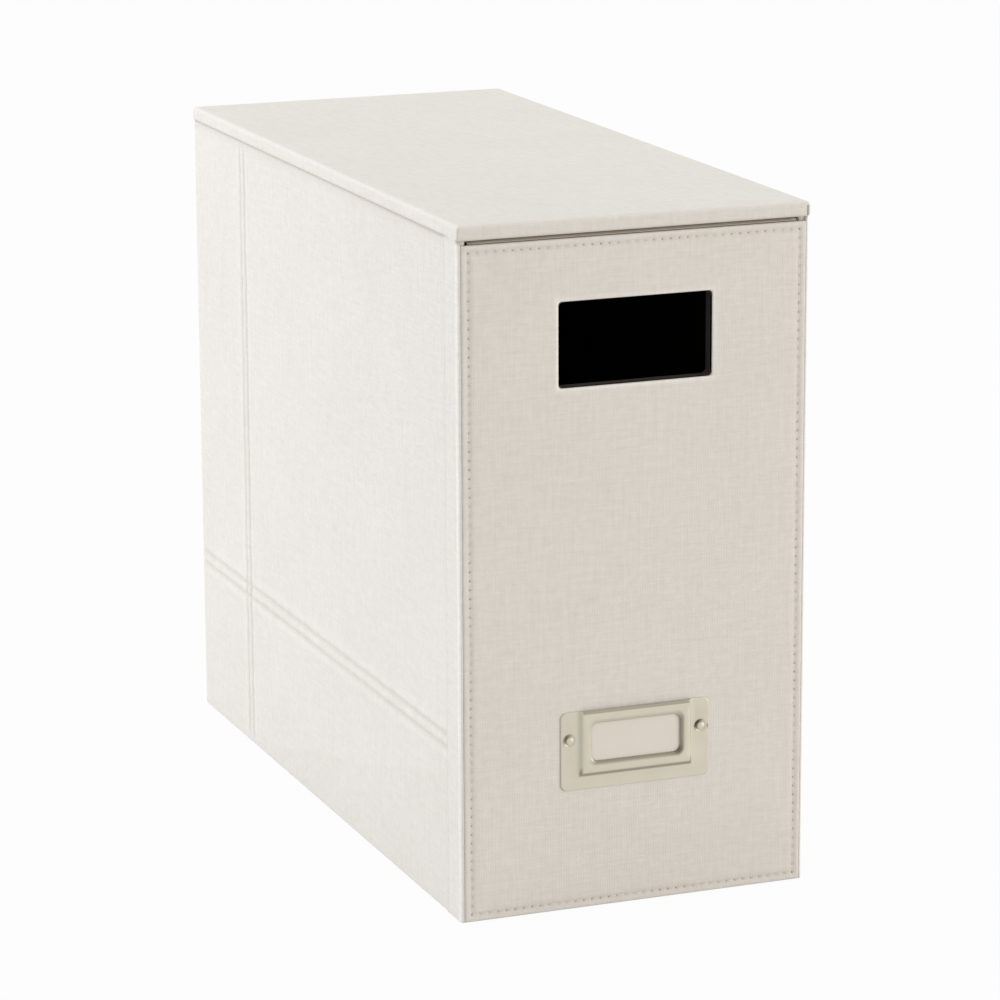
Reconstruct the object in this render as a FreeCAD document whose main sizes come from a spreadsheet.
import FreeCAD, Part
import Sketcher
import math
import os
import re

"""
File box with a pull-out drawer, in millimetres.

A tall narrow case of greyboard covered in linen stands open at the front. Its top is a
thicker slab that laps over the walls and over the drawer's front. The drawer fills the case.
Its front panel is a stitched linen pad that overlays the front edges of the case, with a hand
hole near the top and a metal label holder near the bottom.

Frame: +Z up, +X to the right seen from the front, the drawer pulls out along -Y.
The origin is at the centre of the footprint, on the table.
"""

doc = FreeCAD.newDocument("file_box_with_drawer")


# Driving dimensions: a name, its value and what it measures

SIZES = [
    ("case_width", 160.0, "over the covered side walls"),
    ("case_depth", 360.0, "front edges of the side walls to the back of the case"),
    ("case_height", 296.1, "table to the underside of the top slab"),
    ("fabric", 0.5, "linen with its paper backing"),
    ("wall_board", 3.2, "greyboard of the case walls and base"),
    ("lining", 0.4, "dark lining paper"),
    ("turn_in", 12.0, "width of the linen turned over an edge and glued down"),
    ("edge_round", 1.0, "rounding of the covered wall edges"),
    ("seam_from_rear", 75.0, "middle of each side's upright double seam to the back of the case"),
    ("seam_height", 76.9, "middle of the lower double seam above the table"),
    ("seam_rows", 5.8, "between the two rows of stitches of a double seam"),
    ("seam_end", 14.0, "front end of the lower seam behind the front edge of the wall"),
    ("stitch_furrow", 0.8, "width of the furrow that a row of stitches presses"),
    ("stitch_depth", 0.2, "depth of that furrow"),
    ("top_board", 5.5, "greyboard of the top slab"),
    ("top_round", 3.0, "rounding of the top slab's upper edges, on the board"),
    ("binding", 0.2, "linen strip over the slab's side, down the front edge of each side wall"),
    ("binding_width", 16.0, "width of that strip"),
    ("top_past_side", 0.4, "overhang of the slab past each side wall"),
    ("top_past_rear", 0.6, "overhang of the slab past the rear wall"),
    ("top_past_panel", 0.1, "overhang of the slab past the drawer's front panel"),
    ("closed_gap", 0.2, "front panel to the wall edges with the drawer shut"),
    ("panel_board", 1.5, "card inside the stitched front panel"),
    ("panel_inset", 1.4, "front panel's edge inside each side face of the case"),
    ("panel_lift", 0.5, "front panel's lower edge above the table"),
    ("panel_top_gap", 2.0, "front panel's upper edge below the slab"),
    ("panel_round", 0.8, "rounding of the front panel's edges"),
    ("panel_stitch", 3.2, "front panel's row of stitches inside its edge"),
    ("front_board", 4.4, "board of the drawer's front wall"),
    ("drawer_board", 2.4, "board of the drawer's other walls and floor"),
    ("wrap", 0.3, "paper round the outside of the drawer"),
    ("side_gap", 0.8, "drawer to the case lining, each side"),
    ("floor_gap", 0.3, "drawer to the case floor"),
    ("rear_gap", 3.0, "drawer to the case's rear lining"),
    ("hole_width", 70.0, "hand hole"),
    ("hole_height", 36.8, "hand hole"),
    ("hole_drop", 45.1, "hand hole's centre below the front panel's upper edge"),
    ("hole_corner", 2.5, "hand hole's corner radius"),
    ("holder_ear", 8.1, "each flat ear of the label holder, beside its pocket"),
    ("holder_height", 35.1, "label holder"),
    ("holder_foot", 54.0, "label holder's lower edge above the table"),
    ("holder_corner", 3.0, "label holder's corner radius"),
    ("holder_sheet", 0.6, "sheet steel of the label holder"),
    ("holder_bend", 1.2, "outer bend radius of the raised pocket"),
    ("pocket_width", 53.0, "raised pocket over its side walls"),
    ("pocket_rise", 5.5, "raised pocket's lower edge above the holder's"),
    ("pocket_gap", 1.4, "space inside the pocket, front to back"),
    ("window_side", 5.9, "window's side edges inside the pocket's"),
    ("window_height", 16.8, "window in the pocket"),
    ("window_foot", 12.4, "window's lower edge above the holder's"),
    ("window_corner", 4.0, "window's corner radius"),
    ("card_thick", 0.4, "label card"),
    ("card_gap", 0.3, "label card to the pocket's walls and to the linen"),
    ("card_drop", 1.2, "label card's upper edge below the pocket's mouth"),
    ("pin_height", 22.4, "label pins above the holder's lower edge"),
    ("pin_head_radius", 1.7, "low domed head"),
    ("pin_head_height", 0.5, "low domed head"),
    ("pin_shank_radius", 0.9, "shank"),
    ("pin_tail_radius", 2.0, "clinched tail, let into the back of the front board"),
    ("pin_tail_thick", 0.5, "clinched tail"),
    ("overrun", 2.0, "length of a cut past the face that it opens"),
]

dims = doc.addObject("Spreadsheet::Sheet", "dims")
for row, (name, value, note) in enumerate(SIZES, start=1):
    dims.set(f"A{row}", name)
    dims.set(f"B{row}", str(value))
    dims.set(f"C{row}", note)
    dims.setAlias(f"B{row}", name)
doc.recompute()

NAMES = sorted((name for name, value, note in SIZES), key=len, reverse=True)
NAME_PATTERN = re.compile(r"(?<![\w.])(" + "|".join(NAMES) + r")(?!\w)")


# Planes of the assembly, written in the driving dimensions

WALL_IN = "(fabric + wall_board)"
WALL = "(fabric + wall_board + lining)"
PANEL = "(panel_board + fabric)"
HOLDER_DEPTH = "(holder_sheet + pocket_gap)"
CASE_FRONT = f"((closed_gap + {PANEL} + {HOLDER_DEPTH} - case_depth - top_past_rear) / 2)"
CASE_REAR = f"({CASE_FRONT} + case_depth)"
PANEL_REAR = f"({CASE_FRONT} - closed_gap)"
PANEL_FRONT = f"({PANEL_REAR} - {PANEL})"
PANEL_WIDTH = "(case_width - 2 * panel_inset)"
DRAWER_TOP = "(case_height - panel_top_gap)"
PANEL_HEIGHT = f"({DRAWER_TOP} - panel_lift)"
HOLE_CENTRE = f"({DRAWER_TOP} - hole_drop)"
HOLDER_WIDTH = "(pocket_width + 2 * holder_ear)"
PIN_SPACING = "(pocket_width + holder_ear)"
DRAWER_FOOT = f"({WALL} + floor_gap)"
DRAWER_HEIGHT = f"({DRAWER_TOP} - {DRAWER_FOOT})"
DRAWER_WIDTH = f"(case_width - 2 * {WALL} - 2 * side_gap)"
DRAWER_REAR = f"({CASE_REAR} - {WALL} - rear_gap)"
DRAWER_DEPTH = f"({DRAWER_REAR} - {PANEL_REAR})"
DRAWER_WALL = "(wrap + drawer_board)"


# Point names of a sketch's geometry, its own origin and x axis
START, END, CENTRE = 1, 2, 3
ORIGIN, X_AXIS = -1, -1
UP = FreeCAD.Vector(0, 0, 1)

# Turns of a round feature whose own axis is Z
TO_FRONT = FreeCAD.Rotation(FreeCAD.Vector(1, 0, 0), 90)
TO_REAR = FreeCAD.Rotation(FreeCAD.Vector(1, 0, 0), -90)

# How near the side of a shape an edge lies to count as on it, as a share of the shape's diagonal
TOUCH_SHARE = 1e-6

nodes = []


# Helpers

def formula(text):
    """The text with every driving dimension named as a cell of the sheet."""
    return NAME_PATTERN.sub(r"dims.\1", text)


def number(text):
    """The present value of a text in driving dimensions."""
    return float(dims.evalExpression(formula(text)))


def keep(thing):
    """Count an object as a finished sub-part, and return it."""
    nodes.append(thing)
    return thing


def bind(thing, **properties):
    """Tie properties to the driving dimensions."""
    for name, text in properties.items():
        thing.setExpression(name, formula(text))


def place(thing, corner):
    """Tie an object's position to the driving dimensions."""
    for axis, text in zip("xyz", corner):
        thing.setExpression(f"Placement.Base.{axis}", formula(text))


def box(label, corner, size):
    """A box tied to the driving dimensions."""
    thing = doc.addObject("Part::Box", label)
    thing.Label = label
    length, width, height = size
    bind(thing, Length=length, Width=width, Height=height)
    place(thing, corner)
    return thing


def sheet(label, corner, size):
    """A plain board or sheet that is a sub-part of its own."""
    return keep(box(label, corner, size))


def cut(label, base, tool):
    """The base without the tool's space, as a sub-part of its own."""
    thing = doc.addObject("Part::Cut", label)
    thing.Label = label
    thing.Base = base
    thing.Tool = tool
    return keep(thing)


def new_body(label, corner):
    """An empty body with its own origin at the corner."""
    body = doc.addObject("PartDesign::Body", label)
    body.Label = label
    place(body, corner)
    return body


def add_block(body, corner, size, kind="Additive"):
    """A box feature in a body."""
    block = body.newObject(f"PartDesign::{kind}Box", kind + "Block")
    length, width, height = size
    bind(block, Length=length, Width=width, Height=height)
    place(block, corner)
    doc.recompute()
    return block


def edges_on(shape, *sides):
    """Names of the edges that lie on all the given sides of the shape's bounding box."""
    whole = shape.BoundBox
    reach = whole.DiagonalLength * TOUCH_SHARE
    found = []
    for index, edge in enumerate(shape.Edges, start=1):
        span = edge.BoundBox
        lies_on = {
            "left": span.XMax - whole.XMin < reach,
            "right": whole.XMax - span.XMin < reach,
            "front": span.YMax - whole.YMin < reach,
            "rear": whole.YMax - span.YMin < reach,
            "bottom": span.ZMax - whole.ZMin < reach,
            "top": whole.ZMax - span.ZMin < reach,
        }
        if all(lies_on[side] for side in sides):
            found.append(f"Edge{index}")
    return found


def round_edges(body, radius, corners, but=()):
    """Round the edges where the named sides meet, but not those of the second list."""
    base = body.Tip
    left_out = [name for sides in but for name in edges_on(base.Shape, *sides)]
    names = []
    for sides in corners:
        for name in edges_on(base.Shape, *sides):
            if name not in names + left_out:
                names.append(name)
    fillet = body.newObject("PartDesign::Fillet", "Round")
    fillet.Base = (base, names)
    bind(fillet, Radius=radius)
    doc.recompute()
    return fillet


def front_sketch(body, name, shift_up="0"):
    """A sketch on the body's front plane: its x runs right and its y runs up."""
    sketch = body.newObject("Sketcher::SketchObject", name)
    plane = [f for f in body.Origin.OriginFeatures if f.Role == "XZ_Plane"][0]
    sketch.AttachmentSupport = (plane, [""])
    sketch.MapMode = "FlatFace"
    if shift_up != "0":
        sketch.setExpression("AttachmentOffset.Base.y", formula(shift_up))
    return sketch


def draw_round_rectangle(sketch, width, height, radius):
    """A rectangle with round corners, centred on the sketch's origin."""
    half_w, half_h, r = number(f"({width}) / 2"), number(f"({height}) / 2"), number(radius)
    quarter = math.pi / 2
    arcs = []
    for index, (side_x, side_y) in enumerate(((1, 1), (-1, 1), (-1, -1), (1, -1))):
        centre = FreeCAD.Vector(side_x * (half_w - r), side_y * (half_h - r), 0)
        arc = Part.ArcOfCircle(Part.Circle(centre, UP, r), index * quarter, (index + 1) * quarter)
        arcs.append(sketch.addGeometry(arc, False))
    lines = []
    for index, arc in enumerate(arcs):
        follower = arcs[(index + 1) % len(arcs)]
        start_point = sketch.Geometry[arc].EndPoint
        end_point = sketch.Geometry[follower].StartPoint
        lines.append(sketch.addGeometry(Part.LineSegment(start_point, end_point), False))
    for index, line in enumerate(lines):
        arc, follower = arcs[index], arcs[(index + 1) % len(arcs)]
        sketch.addConstraint(Sketcher.Constraint("Tangent", arc, END, line, START))
        sketch.addConstraint(Sketcher.Constraint("Tangent", line, END, follower, START))
        sketch.addConstraint(Sketcher.Constraint("Horizontal" if index % 2 == 0 else "Vertical", line))
    for arc in arcs[1:]:
        sketch.addConstraint(Sketcher.Constraint("Equal", arcs[0], arc))
    sketch.addConstraint(Sketcher.Constraint("Symmetric", arcs[0], CENTRE, arcs[2], CENTRE, ORIGIN, START))
    across = sketch.addConstraint(
        Sketcher.Constraint("DistanceX", lines[1], START, lines[3], START, 2 * half_w))
    along = sketch.addConstraint(
        Sketcher.Constraint("DistanceY", lines[2], START, lines[0], START, 2 * half_h))
    corner = sketch.addConstraint(Sketcher.Constraint("Radius", arcs[0], r))
    for constraint, text in ((across, width), (along, height), (corner, radius)):
        sketch.setExpression(f"Constraints[{constraint}]", formula(text))
    doc.recompute()


def cut_through(body, sketch, name):
    """Cut a sketch's outline right through a body, both ways."""
    before = body.Shape.Volume
    pocket = body.newObject("PartDesign::Pocket", name)
    pocket.Profile = sketch
    pocket.Type = "ThroughAll"
    pocket.Midplane = True
    doc.recompute()
    if body.Shape.Volume >= before:
        raise RuntimeError(f"{name} cuts nothing from {body.Label}")


def pad(body, sketch, name, length, to_rear=False):
    """Thicken a front sketch, towards the front unless told otherwise."""
    feature = body.newObject("PartDesign::Pad", name)
    feature.Profile = sketch
    feature.Reversed = to_rear
    bind(feature, Length=length)
    doc.recompute()


# Sub-parts of the case

def wall_x(side, inset, thickness):
    """The lower x of a layer of a side wall: its outer face lies inset from the case's side face."""
    if side == "left":
        return f"-case_width / 2 + ({inset})"
    return f"case_width / 2 - ({inset}) - ({thickness})"


def case_side(side):
    """Board, linen cover and lining of one side wall."""
    inner_depth = f"case_depth - {WALL}"
    board = sheet(
        f"case_{side}_board",
        (wall_x(side, "fabric", "wall_board"), f"{CASE_FRONT} + fabric", "fabric"),
        ("wall_board", "case_depth - 2 * fabric", "case_height - 2 * fabric"))
    lining_foot = f"{WALL_IN} + lining"
    sheet(
        f"case_{side}_lining",
        (wall_x(side, WALL_IN, "lining"), f"{CASE_FRONT} + turn_in", lining_foot),
        ("lining", f"{inner_depth} - turn_in", f"case_height - turn_in - ({lining_foot})"))

    cover = new_body(f"case_{side}_linen", ("0", CASE_FRONT, "0"))
    add_block(
        cover, (wall_x(side, "0", WALL_IN), "0", "0"),
        (WALL_IN, "case_depth", "case_height"))
    strip_x = wall_x(side, WALL_IN, "fabric")
    strip_foot = f"{WALL_IN} + fabric"
    add_block(
        cover, (strip_x, "0", strip_foot),
        ("fabric", "turn_in", f"case_height - ({strip_foot})"))
    add_block(
        cover, (strip_x, "0", "case_height - turn_in"),
        ("fabric", inner_depth, "turn_in"))
    outer, inner = ("left", "right") if side == "left" else ("right", "left")
    round_edges(cover, "edge_round", [
        (outer, "front"), (inner, "front"), (outer, "rear"), (outer, "top"), (outer, "bottom")])
    furrow_x = wall_x(side, "-overrun", "overrun + stitch_depth")
    for row in (-1, 1):
        add_block(
            cover, (furrow_x, f"case_depth - seam_from_rear + {row} * seam_rows / 2 - stitch_furrow / 2",
                    "-overrun"),
            ("overrun + stitch_depth", "stitch_furrow", "case_height + 2 * overrun"), "Subtractive")
        add_block(
            cover, (furrow_x, "seam_end", f"seam_height + {row} * seam_rows / 2 - stitch_furrow / 2"),
            ("overrun + stitch_depth", "case_depth", "stitch_furrow"), "Subtractive")
    cut(f"case_{side}_cover", cover, board)


def case_rear():
    """Board, linen cover and lining of the rear wall, between the side walls."""
    clear_width = f"case_width - 2 * {WALL_IN}"
    sheet(
        "case_rear_board",
        (f"-({clear_width}) / 2", f"{CASE_REAR} - {WALL_IN}", "fabric"),
        (clear_width, "wall_board", "case_height - fabric"))
    cover = keep(new_body("case_rear_cover", (f"-({clear_width}) / 2", f"{CASE_REAR} - fabric", "0")))
    add_block(cover, ("0", "0", "0"), (clear_width, "fabric", "case_height"))
    for row in (-1, 1):
        add_block(
            cover, ("-overrun", "fabric - stitch_depth",
                    f"seam_height + {row} * seam_rows / 2 - stitch_furrow / 2"),
            (f"{clear_width} + 2 * overrun", "stitch_depth + overrun", "stitch_furrow"), "Subtractive")
    lined_width = f"case_width - 2 * {WALL}"
    sheet(
        "case_rear_lining",
        (f"-({lined_width}) / 2", f"{CASE_REAR} - {WALL}", WALL),
        (lined_width, "lining", f"case_height - turn_in - {WALL}"))


def case_base():
    """Board, linen cover and lining of the floor, between the side walls."""
    clear_width = f"case_width - 2 * {WALL_IN}"
    left = f"-({clear_width}) / 2"
    board = sheet(
        "case_base_board",
        (left, f"{CASE_FRONT} + fabric", "fabric"),
        (clear_width, f"case_depth - {WALL_IN} - fabric", "wall_board"))
    lined_width = f"case_width - 2 * {WALL}"
    sheet(
        "case_base_lining",
        (f"-({lined_width}) / 2", f"{CASE_FRONT} + turn_in", WALL_IN),
        (lined_width, f"case_depth - turn_in - {WALL}", "lining"))

    cover = new_body("case_base_linen", (left, CASE_FRONT, "0"))
    add_block(cover, ("0", "0", "0"), (clear_width, "turn_in", f"{WALL_IN} + fabric"))
    add_block(cover, ("0", "0", "0"), (clear_width, "case_depth - fabric", "fabric"))
    round_edges(cover, "edge_round", [("front", "top"), ("front", "bottom")])
    cut("case_base_cover", cover, board)


def top_slab():
    """The thick top: a board with round upper edges, wrapped in linen and lined underneath."""
    width = "case_width + 2 * top_past_side"
    depth = f"case_depth + top_past_rear + closed_gap + {PANEL} + top_past_panel"
    front = f"{PANEL_FRONT} - top_past_panel"
    thickness = "top_board + 2 * fabric"

    board = keep(new_body("top_board", (
        f"-({width}) / 2 + fabric", f"{front} + fabric", "case_height + fabric")))
    add_block(
        board, ("0", "0", "0"),
        (f"{width} - 2 * fabric", f"{depth} - 2 * fabric", "top_board"))
    sides = ("left", "right", "front", "rear")
    round_edges(board, "top_round", [(side, "top") for side in sides])

    linen = new_body("top_linen", (f"-({width}) / 2", front, "case_height"))
    add_block(linen, ("0", "0", "0"), (width, depth, thickness))
    round_edges(linen, "top_round + fabric", [(side, "top") for side in sides])
    round_edges(linen, "edge_round", [(side, "bottom") for side in sides])

    mouth_x = f"({WALL} + turn_in)"
    mouth_size = (f"case_width - 2 * {mouth_x}", f"case_depth - 2 * {mouth_x}")
    mouth_corner = (f"-case_width / 2 + {mouth_x}", f"{CASE_FRONT} + {mouth_x}")
    mouth = box(
        "top_mouth", (*mouth_corner, "case_height - overrun"),
        (*mouth_size, "overrun + fabric"))
    filling = doc.addObject("Part::Fuse", "top_filling")
    filling.Base = board
    filling.Tool = mouth
    cut("top_cover", linen, filling)
    sheet(
        "top_lining", (*mouth_corner, "case_height + fabric - lining"),
        (*mouth_size, "lining"))
    return linen


def front_bindings(slab):
    """A linen strip down the front edge of each side wall, over the joint of the wall and the slab."""
    thickness = "(top_past_side + binding)"
    for side in ("left", "right"):
        strip = box(
            f"case_{side}_strip",
            (wall_x(side, f"-{thickness}", thickness), f"{CASE_FRONT} + edge_round", "fabric"),
            (thickness, "binding_width", "case_height + top_board - top_round"))
        cut(f"case_{side}_binding", strip, slab)


# Sub-parts of the drawer

def hand_hole(body, margin, name="HandHole"):
    """Cut the hand hole, wider all round by the margin, through a body that starts at the panel's foot."""
    sketch = front_sketch(body, name + "Sketch", f"{HOLE_CENTRE} - panel_lift")
    draw_round_rectangle(
        sketch, f"hole_width + 2 * ({margin})", f"hole_height + 2 * ({margin})",
        f"hole_corner + ({margin})")
    cut_through(body, sketch, name)


def pin_holes(body, radius, foot):
    """Cut the two holes for the label pins, in a body whose own foot is at the given height."""
    sketch = front_sketch(body, "PinHoleSketch", f"holder_foot + pin_height - ({foot})")
    reach = number(f"{PIN_SPACING} / 2")
    size = number(radius)
    for side in (-1, 1):
        centre = FreeCAD.Vector(side * reach, 0, 0)
        circle = sketch.addGeometry(Part.Circle(centre, UP, size), False)
        ring = sketch.addConstraint(Sketcher.Constraint("Radius", circle, size))
        sketch.setExpression(f"Constraints[{ring}]", formula(radius))
    sketch.addConstraint(Sketcher.Constraint("PointOnObject", 0, CENTRE, X_AXIS))
    sketch.addConstraint(Sketcher.Constraint("Symmetric", 0, CENTRE, 1, CENTRE, ORIGIN, START))
    apart = sketch.addConstraint(Sketcher.Constraint("DistanceX", 0, CENTRE, 1, CENTRE, 2 * reach))
    sketch.setExpression(f"Constraints[{apart}]", formula(PIN_SPACING))
    cut_through(body, sketch, "PinHoles")


def front_panel():
    """The stitched pad on the drawer's front: a card with linen over its face and edges."""
    card_width = f"{PANEL_WIDTH} - 2 * fabric"
    card = keep(new_body("front_panel_board", ("0", f"{PANEL_REAR} - panel_board", "panel_lift")))
    add_block(
        card, (f"-({card_width}) / 2", "0", "fabric"),
        (card_width, "panel_board", f"{PANEL_HEIGHT} - 2 * fabric"))
    hand_hole(card, "lining")
    pin_holes(card, "pin_shank_radius", "panel_lift")

    linen = keep(new_body("front_panel_cover", ("0", PANEL_FRONT, "panel_lift")))
    add_block(linen, (f"-{PANEL_WIDTH} / 2", "0", "0"), (PANEL_WIDTH, PANEL, PANEL_HEIGHT))
    round_edges(linen, "panel_round", [(side, "front") for side in ("left", "right", "top", "bottom")])
    add_block(
        linen, (f"-({card_width}) / 2", "fabric", "fabric"),
        (card_width, "panel_board + overrun", f"{PANEL_HEIGHT} - 2 * fabric"), "Subtractive")
    furrow_left = f"-{PANEL_WIDTH} / 2 + panel_stitch - stitch_furrow / 2"
    furrow_foot = "panel_stitch - stitch_furrow / 2"
    furrow_width = f"{PANEL_WIDTH} - 2 * panel_stitch + stitch_furrow"
    furrow_height = f"{PANEL_HEIGHT} - 2 * panel_stitch + stitch_furrow"
    into = "stitch_depth + overrun"
    for corner, size in (
            ((furrow_left, "-overrun", furrow_foot), ("stitch_furrow", into, furrow_height)),
            ((f"-({furrow_left}) - stitch_furrow", "-overrun", furrow_foot),
             ("stitch_furrow", into, furrow_height)),
            ((furrow_left, "-overrun", furrow_foot), (furrow_width, into, "stitch_furrow")),
            ((furrow_left, "-overrun", f"{PANEL_HEIGHT} - ({furrow_foot}) - stitch_furrow"),
             (furrow_width, into, "stitch_furrow"))):
        add_block(linen, corner, size, "Subtractive")
    hand_hole(linen, "0")
    pin_holes(linen, "pin_shank_radius", "panel_lift")


def drawer_front():
    """The drawer's front wall behind the panel, its lining and the lined edge of the hand hole."""
    clear_width = f"{DRAWER_WIDTH} - 2 * wrap"
    board = keep(new_body("drawer_front_board", ("0", PANEL_REAR, "panel_lift")))
    foot = f"{DRAWER_FOOT} + wrap - panel_lift"
    add_block(
        board, (f"-({clear_width}) / 2", "0", foot),
        (clear_width, "front_board", f"{DRAWER_HEIGHT} - 2 * wrap"))
    hand_hole(board, "lining")
    pin_holes(board, "pin_shank_radius", "panel_lift")
    for side in (-1, 1):
        seat = board.newObject("PartDesign::SubtractiveCylinder", "TailSeat")
        seat.Placement = FreeCAD.Placement(FreeCAD.Vector(), TO_REAR)
        bind(seat, Radius="pin_tail_radius", Height="pin_tail_thick + overrun")
        place(seat, (f"{side} * {PIN_SPACING} / 2", "front_board - pin_tail_thick",
                     "holder_foot + pin_height - panel_lift"))
    doc.recompute()

    lined_width = f"{DRAWER_WIDTH} - 2 * {DRAWER_WALL} - 2 * lining"
    lining_foot = f"{DRAWER_FOOT} + {DRAWER_WALL} + lining"
    paper = keep(new_body("drawer_front_lining", ("0", f"{PANEL_REAR} + front_board", "panel_lift")))
    add_block(
        paper, (f"-({lined_width}) / 2", "0", f"{lining_foot} - panel_lift"),
        (lined_width, "lining", f"{DRAWER_TOP} - ({lining_foot})"))
    hand_hole(paper, "lining")

    depth = "panel_board + front_board + lining"
    ring = keep(new_body("hand_hole_lining", ("0", f"{PANEL_REAR} - panel_board", "panel_lift")))
    sketch = front_sketch(ring, "RingSketch", f"{HOLE_CENTRE} - panel_lift")
    draw_round_rectangle(
        sketch, "hole_width + 2 * lining", "hole_height + 2 * lining", "hole_corner + lining")
    pad(ring, sketch, "Ring", depth, to_rear=True)
    hand_hole(ring, "0")


def drawer_walls():
    """Walls, floor and linings of the drawer, and the paper wrapped round it and over its upper edges."""
    outer = box(
        "drawer_space", (f"-{DRAWER_WIDTH} / 2", PANEL_REAR, DRAWER_FOOT),
        (DRAWER_WIDTH, DRAWER_DEPTH, DRAWER_HEIGHT))
    boards_width = f"({DRAWER_WIDTH} - 2 * wrap)"
    boards = box(
        "drawer_boards_space", (f"-{boards_width} / 2", f"{PANEL_REAR} - overrun", f"{DRAWER_FOOT} + wrap"),
        (boards_width, f"{DRAWER_DEPTH} + overrun - wrap", f"{DRAWER_HEIGHT} - 2 * wrap"))

    floor = f"({DRAWER_FOOT} + wrap)"
    behind_front = f"({PANEL_REAR} + front_board)"
    boards_depth = f"({DRAWER_REAR} - wrap - {behind_front})"
    clear_width = f"({DRAWER_WIDTH} - 2 * {DRAWER_WALL})"
    mouth = box(
        "drawer_mouth", (f"-{clear_width} / 2", behind_front, floor),
        (clear_width, f"{boards_depth} - drawer_board", f"{DRAWER_HEIGHT} + overrun"))
    space = doc.addObject("Part::Fuse", "drawer_wrap_space")
    space.Base = boards
    space.Tool = mouth
    cut("drawer_wrap", outer, space)

    wall_height = f"({DRAWER_TOP} - wrap - {floor})"
    lined_width = f"({clear_width} - 2 * lining)"
    lined_depth = f"({boards_depth} - drawer_board - 2 * lining)"
    lined_foot = f"({floor} + drawer_board + lining)"
    lined_height = f"({DRAWER_TOP} - {lined_foot})"
    for side, board_x, lining_x in (
            ("left", f"-{boards_width} / 2", f"-{clear_width} / 2"),
            ("right", f"{clear_width} / 2", f"{lined_width} / 2")):
        sheet(
            f"drawer_{side}_board", (board_x, behind_front, floor),
            ("drawer_board", boards_depth, wall_height))
        sheet(
            f"drawer_{side}_lining", (lining_x, f"{behind_front} + lining", lined_foot),
            ("lining", lined_depth, lined_height))
    sheet(
        "drawer_rear_board",
        (f"-{clear_width} / 2", f"{DRAWER_REAR} - {DRAWER_WALL}", floor),
        (clear_width, "drawer_board", wall_height))
    sheet(
        "drawer_rear_lining",
        (f"-{clear_width} / 2", f"{DRAWER_REAR} - {DRAWER_WALL} - lining", lined_foot),
        (clear_width, "lining", lined_height))
    sheet(
        "drawer_base_board", (f"-{clear_width} / 2", behind_front, floor),
        (clear_width, f"{boards_depth} - drawer_board", "drawer_board"))
    sheet(
        "drawer_base_lining", (f"-{clear_width} / 2", behind_front, f"{floor} + drawer_board"),
        (clear_width, f"{boards_depth} - drawer_board", "lining"))


def label_holder():
    """Pressed steel frame: two flat ears and a raised pocket, open at the top, with a window."""
    holder = keep(new_body("label_holder", ("0", PANEL_FRONT, "holder_foot")))
    sketch = front_sketch(holder, "FlangeSketch", "holder_height / 2")
    draw_round_rectangle(sketch, HOLDER_WIDTH, "holder_height", "holder_corner")
    pad(holder, sketch, "Flange", "holder_sheet")
    add_block(
        holder, ("-pocket_width / 2", f"-{HOLDER_DEPTH}", "pocket_rise"),
        ("pocket_width", HOLDER_DEPTH, "holder_height - pocket_rise"))
    round_edges(holder, "holder_bend", [("front",)], but=[("front", "top")])
    add_block(
        holder, ("-pocket_width / 2 + holder_sheet", "-pocket_gap", "pocket_rise + holder_sheet"),
        ("pocket_width - 2 * holder_sheet", "pocket_gap + overrun",
         "holder_height - pocket_rise - holder_sheet + overrun"), "Subtractive")
    window = front_sketch(holder, "WindowSketch", "window_foot + window_height / 2")
    draw_round_rectangle(window, "pocket_width - 2 * window_side", "window_height", "window_corner")
    cut_through(holder, window, "Window")
    pin_holes(holder, "pin_shank_radius", "holder_foot")


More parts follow.
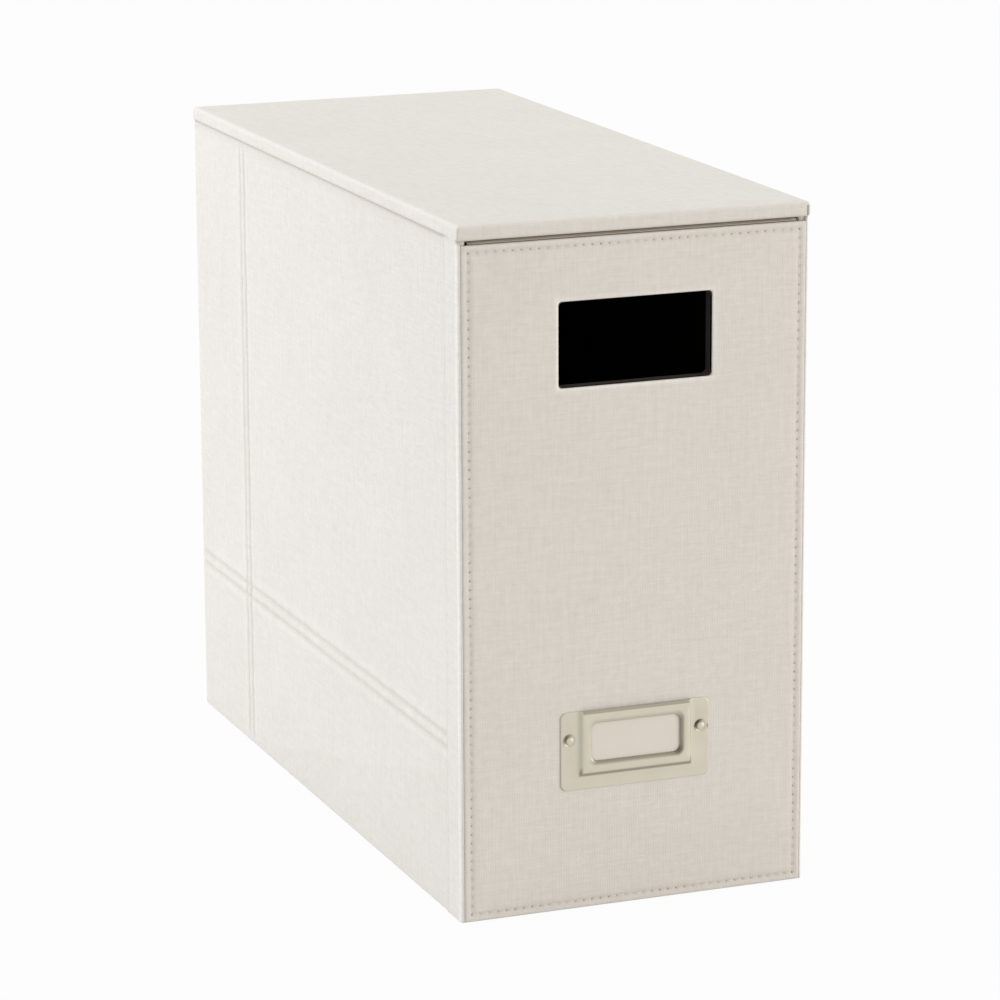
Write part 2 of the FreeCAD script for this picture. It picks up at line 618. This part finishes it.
def label_card():
    """Blank paper card that slides down into the holder's pocket."""
    clear_width = "pocket_width - 2 * holder_sheet - 2 * card_gap"
    foot = "holder_foot + pocket_rise + holder_sheet + card_gap"
    sheet(
        "label_card", (f"-({clear_width}) / 2", f"{PANEL_FRONT} - card_gap - card_thick", foot),
        (clear_width, "card_thick", f"holder_foot + holder_height - card_drop - ({foot})"))


def label_pin(side):
    """One pin: domed head on the holder's ear, shank through the front, clinched tail."""
    sign = "-" if side == "left" else ""
    pin = new_body(f"label_pin_{side}", (
        f"{sign}{PIN_SPACING} / 2", f"{PANEL_FRONT} - holder_sheet", "holder_foot + pin_height"))
    pin.Placement.Rotation = TO_FRONT
    grip = f"(holder_sheet + {PANEL} + front_board - pin_tail_thick)"
    shank = pin.newObject("PartDesign::AdditiveCylinder", "Shank")
    bind(shank, Radius="pin_shank_radius", Height=grip)
    place(shank, ("0", "0", f"-{grip}"))
    tail = pin.newObject("PartDesign::AdditiveCylinder", "Tail")
    bind(tail, Radius="pin_tail_radius", Height="pin_tail_thick")
    place(tail, ("0", "0", f"-{grip} - pin_tail_thick"))
    head = pin.newObject("PartDesign::AdditiveEllipsoid", "Head")
    head.Angle1 = 0
    bind(head, Radius1="pin_head_height", Radius2="pin_head_radius", Radius3="pin_head_radius")
    doc.recompute()
    return pin


def label_pins():
    """The two pins as one group."""
    group = doc.addObject("Part::Compound", "label_pins")
    group.Label = "label_pins"
    group.Links = [label_pin("left"), label_pin("right")]
    keep(group)


# Build, check and write

case_side("left")
case_side("right")
case_rear()
case_base()
front_bindings(top_slab())
front_panel()
drawer_front()
drawer_walls()
label_holder()
label_card()
label_pins()
doc.recompute()

for thing in doc.Objects:
    faults = [state for state in thing.State if state in ("Invalid", "Error")]
    if faults:
        raise RuntimeError(f"{thing.Label} is {', '.join(faults)}")
for node in nodes:
    if node.Shape.isNull() or not node.Shape.isValid() or not node.Shape.Solids:
        raise RuntimeError(f"{node.Label} has no valid solid")

os.makedirs("parts", exist_ok=True)
for node in nodes:
    node.Shape.exportStep(f"parts/{node.Label}.step")

span = Part.makeCompound([node.Shape for node in nodes]).BoundBox
print(f"{len(nodes)} sub-parts, {span.XLength:.1f} x {span.YLength:.1f} x {span.ZLength:.1f} mm")
